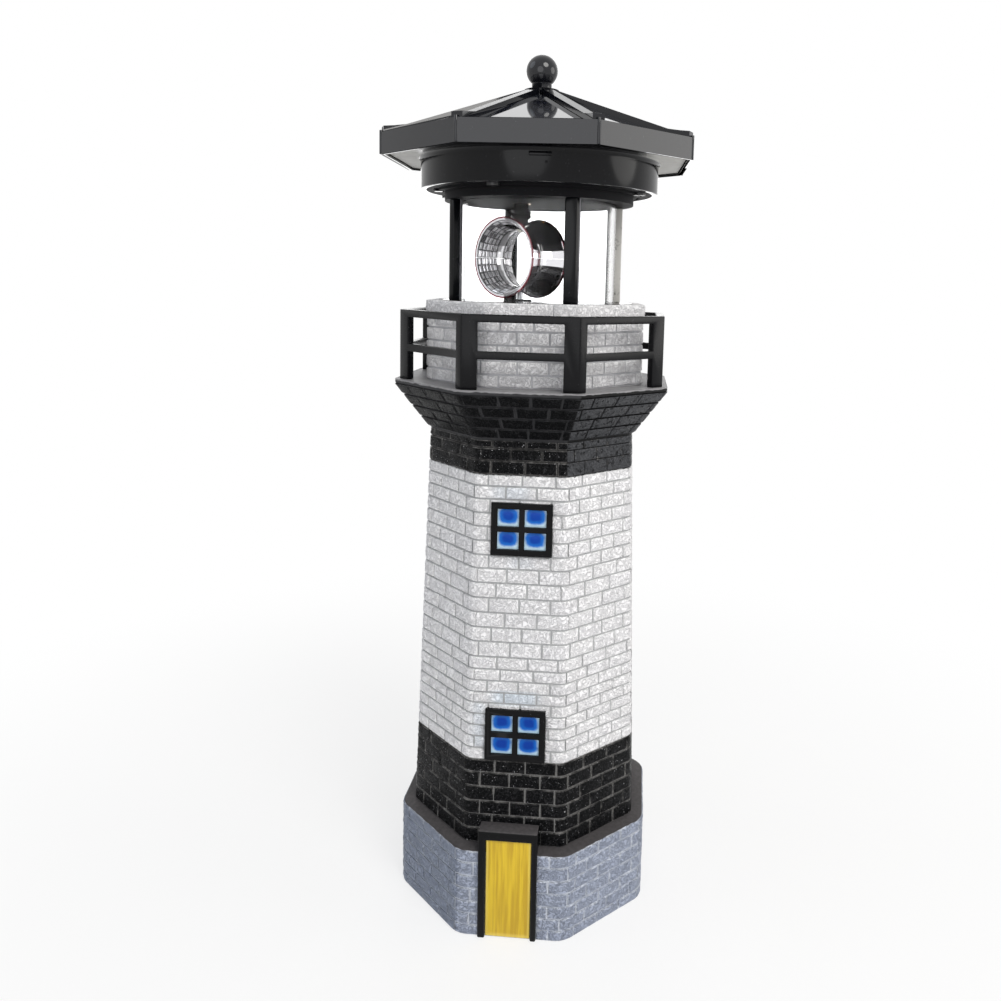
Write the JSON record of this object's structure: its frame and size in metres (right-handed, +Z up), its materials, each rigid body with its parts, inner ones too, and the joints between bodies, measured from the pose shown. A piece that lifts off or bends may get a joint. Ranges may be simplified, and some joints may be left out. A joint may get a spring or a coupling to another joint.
{
  "type": "garden lighthouse ornament",
  "caption": "Octagonal brick lighthouse ornament with a door, windows, a railed gallery and a lift-out solar lamp head with a turning reflector.",
  "frame": {"origin": "centre of the foot, on the ground", "axes": "+Z up the tower, -Y out of the door, +X to the right of someone who faces the door"},
  "size_m": [0.0962, 0.0962, 0.276],
  "materials": {
    "white_paint": "white paint with thin grey mortar lines on cast resin stone",
    "grey_paint": "grey-blue paint over cast bricks, satin",
    "black_paint": "black paint over cast bricks, satin",
    "black_plastic": "glossy black moulding",
    "yellow_paint": "yellow painted door with a vertical grain",
    "window_blue": "blue painted pane, paler at its edges",
    "base_plug": "moulded plug",
    "pad_rubber": "soft foot pad",
    "clear_plastic": "clear polished plastic",
    "solar_glass": "dark solar cell under a mirror-smooth clear face",
    "reflector_chrome": "vacuum-metallised plastic",
    "steel": "plain steel",
    "natural_plastic": "natural moulding",
    "motor_can": "plated motor can",
    "cell_can": "sleeved rechargeable cell",
    "board": "green circuit board",
    "bearing_brass": "turned brass",
    "light": "milky lens of the light"
  },
  "bodies": {
    "tower": {"plinth": "grey_paint", "shaft": "white_paint", "gallery": "black_paint", "brick_drum": "white_paint", "gallery_railing": "black_plastic", "door_frame": "black_plastic", "door_leaf": "yellow_paint", "upper_window_frame": "black_plastic", "lower_window_frame": "black_plastic", "upper_window_pane_1": "window_blue", "upper_window_pane_2": "window_blue", "upper_window_pane_3": "window_blue", "upper_window_pane_4": "window_blue", "lower_window_pane_1": "window_blue", "lower_window_pane_2": "window_blue", "lower_window_pane_3": "window_blue", "lower_window_pane_4": "window_blue", "bottom_plug": "base_plug", "foot_pads": "pad_rubber"},
    "lamp_head": {"lantern_foot": "black_plastic", "lantern_post_1": "black_plastic", "lantern_post_2": "black_plastic", "lantern_post_3": "black_plastic", "lantern_post_4": "black_plastic", "clear_lens": "clear_plastic", "underside_cover": "black_plastic", "cover_screws": "steel", "lower_housing": "black_plastic", "roof_shell": "black_plastic", "solar_panel_1": "solar_glass", "solar_panel_2": "solar_glass", "solar_panel_3": "solar_glass", "solar_panel_4": "solar_glass", "solar_panel_5": "solar_glass", "solar_panel_6": "solar_glass", "solar_panel_7": "solar_glass", "solar_panel_8": "solar_glass", "finial": "black_plastic", "finial_nut": "steel", "gear_chassis": "natural_plastic", "gear_motor": "motor_can", "battery_holder": "black_plastic", "battery_cell": "cell_can", "battery_contacts": "steel", "circuit_board": "board", "switch_body": "steel", "spindle_bush": "bearing_brass", "led_stem": "black_plastic", "led": "light"},
    "reflector": {"spindle_sleeve": "black_plastic", "drive_gear": "natural_plastic", "reflector_upper": "reflector_chrome", "reflector_lower": "reflector_chrome", "pivot_pin": "steel"},
    "pinion": {"motor_pinion": "bearing_brass"},
    "switch_knob_body": {"switch_knob": "black_plastic"}
  },
  "joints": [
    {"name": "lamp_lift", "type": "slide", "parent": "tower", "child": "lamp_head", "axis": [0, 0, 1], "range_m": [0, 0.04]},
    {"name": "reflector_spin", "type": "hinge", "parent": "lamp_head", "child": "reflector", "pos_m": [-0.0059, 0, 0.2114], "axis": [0, 0, 1], "continuous": true},
    {"name": "pinion_spin", "type": "hinge", "parent": "lamp_head", "child": "pinion", "pos_m": [0.00665, 0, 0.232], "axis": [0, 0, 1], "continuous": true},
    {"name": "switch_slide", "type": "slide", "parent": "lamp_head", "child": "switch_knob_body", "axis": [0.3338, -0.9426, 0], "range_m": [0, 0.0024]}
  ],
  "couplings": [
    {"joint": "pinion_spin", "follows": "reflector_spin", "ratio": -4}
  ]
}
